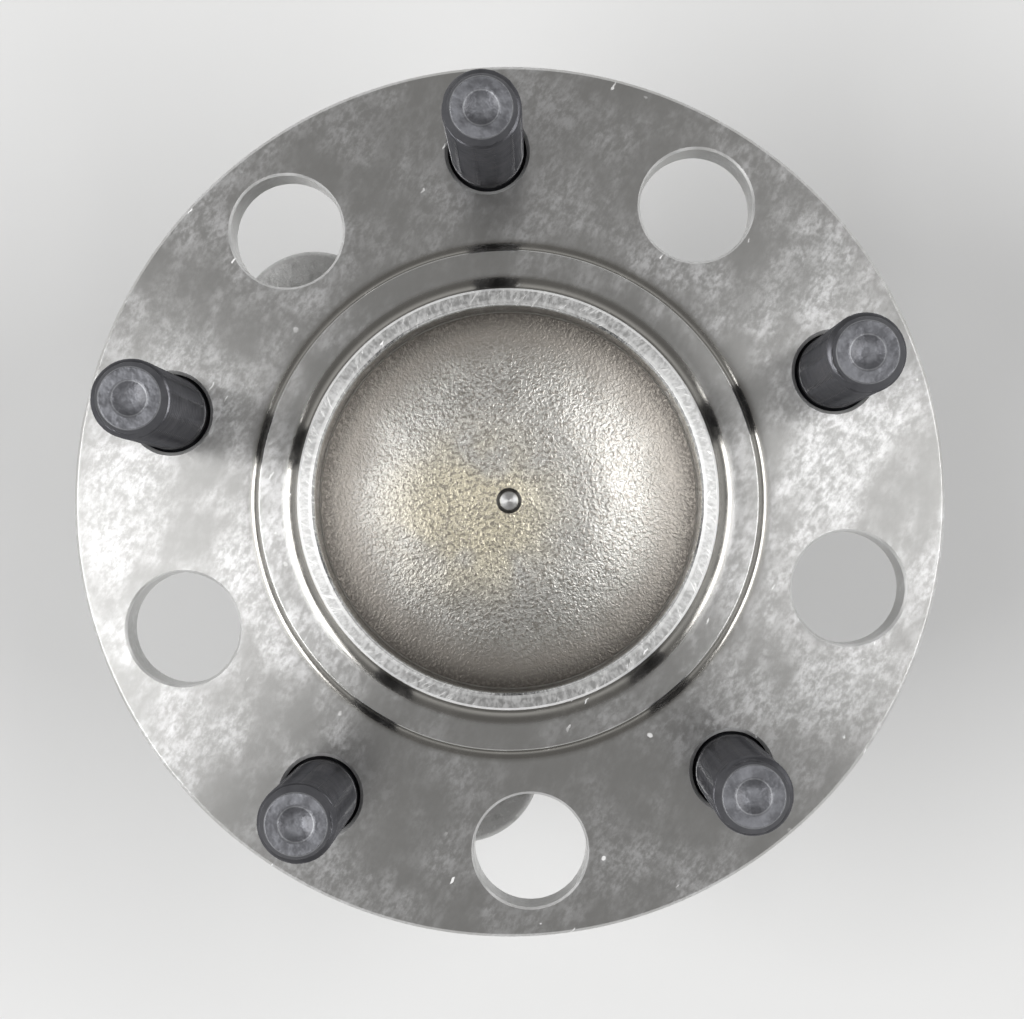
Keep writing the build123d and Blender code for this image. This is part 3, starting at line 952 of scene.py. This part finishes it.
def studBlank():
    radius, reach, chamfer = stud["radius"], stud["reach"], stud["tipChamfer"]
    wide, deep = stud["dimpleRadius"], stud["dimpleDepth"]
    knurl, head, back = stud["knurlRadius"], stud["headRadius"], hub["flangeBack"]
    steps = 7
    curve = (wide ** 2 + deep ** 2) / (2 * deep)
    widest = acos(1 - deep / curve)
    dimple = []
    for k in range(steps):
        turn = widest * k / steps
        dimple.append((curve * sin(turn), reach - deep + curve * (1 - cos(turn))))
    tip = rounded([
        (wide, reach),
        (radius - chamfer, reach),
        (radius, reach - chamfer),
        (radius, 0.2),
    ], edgeRound=0.2, longest=stud["pitch"] / stud["rowsPerPitch"])
    root = rounded([
        (radius, -0.05),
        (stud["runoutRadius"], -0.5),
        (stud["runoutRadius"], -1.2),
        (knurl, -2.1),
        (knurl, back + hub["studMouth"]),
        (knurl + hub["studMouth"], back),
        (head, back),
        (head, back - stud["headThickness"], 1.0),
        (0, back - stud["headThickness"]),
    ])
    return turnedMesh("studBlank", dimple + tip + root, stud["segments"])


def studTree():
    sizes = {
        "Radius": stud["radius"] * mm,
        "Pitch": stud["pitch"] * mm,
        "Thread Depth": stud["threadDepth"] * mm,
        "Thread Start": stud["threadStart"] * mm,
        "Thread End": (stud["reach"] - stud["tipChamfer"] - 0.3) * mm,
        "Rows": stud["rowsPerPitch"],
        "Circle Radius": hub["pitchRadius"] * mm,
        "Count": hub["studCount"],
        "First Angle": radians(hub["firstStud"]),
    }
    graph, given = geometryTree("studThread", sizes)
    pitch, rows, start = given.also("Pitch"), given.also("Rows"), given.also("Thread Start")
    x, y, z = graph.split(graph.node("GeometryNodeInputPosition"))
    radius = (x * x + y * y) ** 0.5
    around = y.math("ARCTAN2", x) / (2 * pi)
    snapped = ((z / pitch - around) * rows).math("ROUND") / rows
    isThread = (z > 0.0003) * (z < given.also("Thread End"))
    height = z + ((snapped + around) * pitch - z) * isThread
    turn = height / pitch - around
    fromRoot = (turn.math("FRACT") - 0.5).math("ABSOLUTE") * 2
    groove = ((0.875 - fromRoot) / 0.625).clamp()
    groove = groove * ((z - start) / pitch).clamp()
    limit = given.also("Radius") - groove * given.also("Thread Depth")
    onShank = z > 0.0
    fit = radius.math("MINIMUM", limit) / radius.math("MAXIMUM", 1e-6)
    fit = (fit - 1) * onShank + 1
    position = graph.joined(x * fit, y * fit, height)
    threaded = graph.node("GeometryNodeSetPosition", {}, {"Geometry": given, "Position": position})
    values = {"Vertices": given.also("Count"), "Radius": given.also("Circle Radius")}
    circle = graph.node("GeometryNodeMeshCircle", {}, values)
    swing = graph.joined(0.0, 0.0, given.also("First Angle"))
    circle = graph.node("GeometryNodeTransform", {}, {"Geometry": circle, "Rotation": swing})
    number = graph.node("GeometryNodeInputIndex")
    spin = graph.joined(0.0, 0.0, number * stud["spin"])
    values = {"Points": circle, "Instance": threaded, "Rotation": spin}
    copied = graph.node("GeometryNodeInstanceOnPoints", {}, values)
    return finished(graph, given, copied)


studs = grown("wheelStuds", studBlank(), studTree(), {"Material": finishes["black_steel"]})
smooth(studs, 42)
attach(studs, "hub_unit")
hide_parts("wheel_studs")
print("studs made:", len(studs.data.polygons), "faces")


# The outer ring: a turned body with a forged plate of four ears, tapped for the knuckle's bolts

ring = {
    "bodyRadius": 39.6,
    "spigotRadius": 38.0,
    "seatRadius": 34.0,
    "endBore": 32.8,
    "plateRadius": 44.1,
    "plateFillet": 2.8,
    "outboardEnd": -13.0,
    "sealBack": -18.5,
    "earTop": -31.5,
    "knuckleFace": -43.5,
    "inboardEnd": -61.012,
    "capSeat": 6.0,
    "outboardRow": -26.656,
    "inboardRow": -48.056,
    "earX": 23.25,
    "earY": 40.85,
    "earRadius": 14.0,
    "earBlend": 6.0,
    "earRound": 1.4,
    "boreRadius": 5.325,
    "boltRadius": 6.0,
    "boltPitch": 1.25,
    "segments": 192,
}


def toward(turn):
    return Vector((cos(turn), sin(turn)))


def earCentres():
    signs = [(1, 1), (-1, 1), (-1, -1), (1, -1)]
    return [Vector((x * ring["earX"], y * ring["earY"])) for x, y in signs]


def arc(centre, radius, start, end, step):
    # Points and outward normals of an arc. A negative radius is a hollow one.
    count = max(2, ceil(abs(end - start) / radians(step)))
    turns = [start + (end - start) * k / count for k in range(count)]
    side = 1 if radius > 0 else -1
    return [(centre + toward(turn) * abs(radius), toward(turn) * side) for turn in turns]


def earOutline():
    # The plate's outline anticlockwise, with the outward normal at each point.
    ears = earCentres()
    apart = ears[0].length
    plate, blend = ring["plateRadius"], ring["earBlend"]
    toPlate = plate + blend
    toEar = ring["earRadius"] + blend
    swing = acos((apart ** 2 + toPlate ** 2 - toEar ** 2) / (2 * apart * toPlate))
    outline = []
    for ear, nextEar in zip(ears, ears[1:] + ears[:1]):
        heading = atan2(ear.y, ear.x)
        before = toward(heading - swing) * toPlate
        after = toward(heading + swing) * toPlate
        start = atan2(before.y - ear.y, before.x - ear.x)
        end = atan2(after.y - ear.y, after.x - ear.x)
        leave = heading - swing + pi
        bend = (start - leave) % (2 * pi) - pi
        outline += arc(before, -blend, leave, leave + bend, 5)
        outline += arc(ear, ring["earRadius"], start, start + (end - start) % (2 * pi), 4)
        outline += arc(after, -blend, end + pi, end + pi + bend, 5)
        start = heading + swing
        sweep = (atan2(nextEar.y, nextEar.x) - swing - start) % (2 * pi)
        outline += arc(Vector((0, 0)), plate, start, start + sweep, 2)
    return outline


def makePlate():
    # A prism on the outline, its outboard edge well rounded and its other edge broken.
    top, bottom, soft = ring["earTop"], ring["knuckleFace"], ring["earRound"]
    levels = []
    for k in range(6):
        turn = radians(90 * k / 5)
        levels.append((soft * (1 - cos(turn)), top - soft * (1 - sin(turn))))
    levels.reverse()
    levels += [(0, top - soft - 0.3), (0, bottom + 0.6), (0, bottom + 0.3)]
    levels += [(0.1, bottom + 0.08), (0.3, bottom)]
    outline = earOutline()
    shape = bmesh.new()
    rows = []
    for inset, height in levels:
        rows.append([
            shape.verts.new((*((point - normal * inset) * mm), height * mm))
            for point, normal in outline
        ])
    count = len(outline)
    for upper, lower in zip(rows, rows[1:]):
        for k in range(count):
            around = (k + 1) % count
            shape.faces.new((upper[k], lower[k], lower[around], upper[around]))
    shape.faces.new(rows[0])
    shape.faces.new(rows[-1][::-1])
    return newPiece("earPlate", kept(shape, "earPlate"))


def tapTree():
    # Cuts a thread into a rod and sets one at each point of the base mesh.
    sizes = {
        "Bore Radius": ring["boreRadius"] * mm,
        "Bolt Radius": ring["boltRadius"] * mm,
        "Pitch": ring["boltPitch"] * mm,
        "Top": ring["earTop"] * mm,
        "Bottom": ring["knuckleFace"] * mm,
        "Rows": 150,
    }
    graph, given = geometryTree("earTaps", sizes)
    bore, bolt = given.also("Bore Radius"), given.also("Bolt Radius")
    top, bottom = given.also("Top"), given.also("Bottom")
    height = top - bottom + 4 * mm
    rod = graph.node("GeometryNodeMeshCylinder", {"fill_type": "NGON"}, {
        "Vertices": 40,
        "Side Segments": given.also("Rows"),
        "Radius": bolt,
        "Depth": height,
    })
    middle = graph.joined(0.0, 0.0, (top + bottom) * 0.5)
    rod = graph.node("GeometryNodeTransform", {}, {"Geometry": rod, "Translation": middle})
    x, y, z = graph.split(graph.node("GeometryNodeInputPosition"))
    radius = (x * x + y * y) ** 0.5
    turn = z / given.also("Pitch") - y.math("ARCTAN2", x) / (2 * pi)
    fromCrest = (turn.math("FRACT") - 0.5).math("ABSOLUTE") * 2
    ridge = ((0.875 - fromCrest) / 0.625).clamp()
    threaded = bore + ridge * (bolt - bore)
    fromTop = z - top
    fromBottom = bottom - z
    mouth = fromTop.math("MAXIMUM", fromBottom) + bolt + 0.4 * mm
    fit = threaded.math("MAXIMUM", mouth) / radius.math("MAXIMUM", 1e-6)
    position = graph.joined(x * fit, y * fit, z)
    rod = graph.node("GeometryNodeSetPosition", {}, {"Geometry": rod, "Position": position})
    copied = graph.node("GeometryNodeInstanceOnPoints", {}, {"Points": given, "Instance": rod})
    return finished(graph, given, copied)


def earPoints():
    mesh = bpy.data.meshes.new("earPoints")
    mesh.from_pydata([(ear.x * mm, ear.y * mm, 0) for ear in earCentres()], [], [])
    return mesh


def isForged(face):
    # What no tool has touched of the outer ring: its body's wall and the plate's top and rim.
    at = face.center / mm
    radius = hypot(at.x, at.y)
    if abs(at.z - ring["earTop"]) < 0.1 and face.normal.z > 0.99:
        return True
    if at.z > ring["outboardEnd"] - 2.5 or at.z < ring["knuckleFace"] + 0.12:
        return False
    if radius < ring["bodyRadius"] - 0.4:
        return False
    return hypot(abs(at.x) - ring["earX"], abs(at.y) - ring["earY"]) > ring["boltRadius"] + 1.1


def makeRing():
    seat, body, spigot = ring["seatRadius"], ring["bodyRadius"], ring["spigotRadius"]
    top, knuckle, end = ring["earTop"], ring["knuckleFace"], ring["inboardEnd"]
    circle, groove = hub["ballCircle"], hub["grooveRadius"]
    outside = rounded([
        (seat, ring["sealBack"]),
        (seat, ring["outboardEnd"]),
        (body - 1, ring["outboardEnd"]),
        (body, ring["outboardEnd"] - 1),
        (body, top + 0.01, ring["plateFillet"]),
        (body + 2.9, top + 0.01),
        (body + 2.9, knuckle + 0.02),
        (spigot, knuckle + 0.02),
        (spigot, end + 1.5),
        (spigot - 1.5, end),
        (seat, end),
        (seat, end + ring["capSeat"]),
        (ring["endBore"], end + ring["capSeat"]),
        (ring["endBore"], ring["inboardRow"] - 1.2),
    ], stepAngle=15)
    inboardRace = grooveArc(circle, groove, ring["inboardRow"], -12, 65)
    outboardRace = grooveArc(circle, groove, ring["outboardRow"], -65, 12)
    outline = outside + inboardRace + outboardRace + [(ring["endBore"], ring["sealBack"])]
    piece = newPiece("outerRing", turnedMesh("outerRing", outline, ring["segments"]))
    combine(piece, makePlate(), "UNION")
    taps = grown("earTaps", earPoints(), tapTree(), {"Material": machinedFinish})
    combine(piece, taps, "DIFFERENCE")
    piece.data.materials.clear()
    piece.data.materials.append(finishes["forged_steel"])
    piece.data.materials.append(machinedFinish)
    for face in piece.data.polygons:
        face.material_index = 0 if isForged(face) else 1
    smooth(piece)
    return piece


outerRing = makeRing()
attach(outerRing, "outer_ring_unit")
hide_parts("outer_ring")
print("outer ring made:", len(outerRing.data.polygons), "faces")


# The inboard cap, drawn from sheet

cap = {
    "sheet": 1.2,
    "sleeve": 5.4,
    "collar": 2.2,
    "collarDrop": 1.4,
    "neck": 0.8,
    "corner": 4.0,
    "inside": -72.112,
    "end": -73.312,
    "window": 18.0,
    "segments": 160,
}


def makeCap():
    seat, foot = ring["seatRadius"], ring["inboardEnd"]
    sheet, mouth, drop = cap["sheet"], foot + cap["sleeve"], foot - cap["collarDrop"]
    cup, collar, window = seat - cap["neck"], seat + cap["collar"], cap["window"] + 0.01
    outline = rounded([
        (seat - 0.4, mouth),
        (seat, mouth - 0.4),
        (seat, foot),
        (collar, foot, 0.35),
        (collar, drop, 0.6),
        (cup, drop, 0.5),
        (cup, cap["end"], cap["corner"]),
        (window, cap["end"], 0.3),
        (window, cap["inside"], 0.3),
        (cup - sheet, cap["inside"], cap["corner"] - sheet),
        (cup - sheet, drop),
        (seat - sheet, foot),
        (seat - sheet, mouth),
        (seat - 0.4, mouth),
    ], stepAngle=12)
    mesh = turnedMesh("sensorCap", outline[:-1], cap["segments"])
    piece = newPiece("sensorCap", mesh, finishes["plated_steel"])
    smooth(piece)
    return piece


sensorCap = makeCap()
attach(sensorCap, "outer_ring_unit")
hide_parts("cap_shell")
print("cap made:", len(sensorCap.data.polygons), "faces")


# Floor, light and camera

studio = {
    "floorSize": 6.0,
    "floorHeight": cadLow.z - 0.0001,
    "floor": (0.73, 0.73, 0.725, 1),
    "fadeFrom": 0.3,
    "fadeTo": 1.1,
    "backdrop": (0.80, 0.80, 0.795, 1),
    "horizon": (0.52, 0.53, 0.55, 1),
    "zenith": (0.31, 0.305, 0.30, 1),
    "overhead": (0.27, 0.266, 0.262, 1),
    "worldStrength": 0.9,
    "skyRise": (0.05, 0.85),
    "overheadRise": (0.05, 0.55),
    "camera": (2.380, -8.529, 354.915),
    "cameraTurn": (0.935, 0.720, -18.834),
    "lens": 76.46,
    "sensor": 36.0,
}

softboxes = {
    "left": {"heading": 172, "elevation": 50, "distance": 1.6, "size": (1.1, 0.6), "power": 18.0},
    "right": {"heading": -20, "elevation": 50, "distance": 1.6, "size": (1.2, 0.5), "power": 13.3},
}


def shownRays(camera):
    # 1 for the rays that show the backdrop: straight from the camera, or by way of metal or glass.
    return (camera + camera.also("Is Glossy Ray") + camera.also("Is Transmission Ray")).clamp()


def floorPaint():
    # Pale and matt near the object, and far away it fades into the backdrop.
    material = bpy.data.materials.new("paleFloor")
    graph = emptied(material)
    x, y, _ = graph.split(graph.node("ShaderNodeTexCoord", output="Object"))
    away = graph.ramp((x * x + y * y) ** 0.5, studio["fadeFrom"], studio["fadeTo"])
    shown = shownRays(graph.node("ShaderNodeLightPath", output="Is Camera Ray"))
    matt = graph.node("ShaderNodeBsdfDiffuse", {}, {"Color": studio["floor"]})
    plain = graph.node("ShaderNodeEmission", {}, {"Color": studio["backdrop"], "Strength": 1.0})
    both = graph.node("ShaderNodeMixShader", {}, {0: away * shown, 1: matt, 2: plain})
    graph.node("ShaderNodeOutputMaterial", {}, {"Surface": both})
    return material


def makeFloor():
    half = studio["floorSize"] / 2
    mesh = bpy.data.meshes.new("floor")
    height = studio["floorHeight"]
    corners = [(-half, -half), (half, -half), (half, half), (-half, half)]
    mesh.from_pydata([(x, y, height) for x, y in corners], [], [(0, 1, 2, 3)])
    newPiece("floor", mesh, floorPaint())


def makeWorld():
    # Lights softly from all round, and shows a pale backdrop that is darker overhead in the metal.
    world = bpy.data.worlds.new("studio")
    graph = emptied(world)
    direction = graph.node("ShaderNodeTexCoord", output="Generated")
    height = graph.split(direction)[2]
    sky = graph.blend(graph.ramp(height, *studio["skyRise"]), studio["horizon"], studio["zenith"])
    light = graph.node("ShaderNodeBackground", {}, {"Color": sky, "Strength": studio["worldStrength"]})
    camera = graph.node("ShaderNodeLightPath", output="Is Camera Ray")
    above = graph.ramp(height, *studio["overheadRise"]) * (1 - camera)
    wall = graph.blend(above, studio["backdrop"], studio["overhead"])
    plain = graph.node("ShaderNodeBackground", {}, {"Color": wall, "Strength": 1.0})
    both = graph.node("ShaderNodeMixShader", {}, {0: shownRays(camera), 1: light, 2: plain})
    graph.node("ShaderNodeOutputWorld", {}, {"Surface": both})
    bpy.context.scene.world = world


def makeSoftbox(name, box):
    heading, elevation = radians(box["heading"]), radians(box["elevation"])
    toward = Vector((cos(heading) * cos(elevation), sin(heading) * cos(elevation), sin(elevation)))
    data = bpy.data.lights.new(name, "AREA")
    data.shape = "RECTANGLE"
    data.size, data.size_y = box["size"]
    data.energy = box["power"]
    lamp = bpy.data.objects.new(name, data)
    lamp.location = toward * box["distance"]
    lamp.rotation_euler = toward.to_track_quat("Z", "Y").to_euler()
    bpy.context.scene.collection.objects.link(lamp)


def makeCamera():
    data = bpy.data.cameras.new("camera")
    data.lens = studio["lens"]
    data.sensor_width = studio["sensor"]
    data.sensor_fit = "HORIZONTAL"
    data.clip_start = 0.01
    view = bpy.data.objects.new("camera", data)
    view.location = Vector(studio["camera"]) * mm
    view.rotation_euler = [radians(turn) for turn in studio["cameraTurn"]]
    bpy.context.scene.collection.objects.link(view)
    bpy.context.scene.camera = view


makeFloor()
makeWorld()
for name, box in softboxes.items():
    makeSoftbox(name, box)
makeCamera()
bpy.context.scene.view_settings.view_transform = "Standard"
print("studio ready")
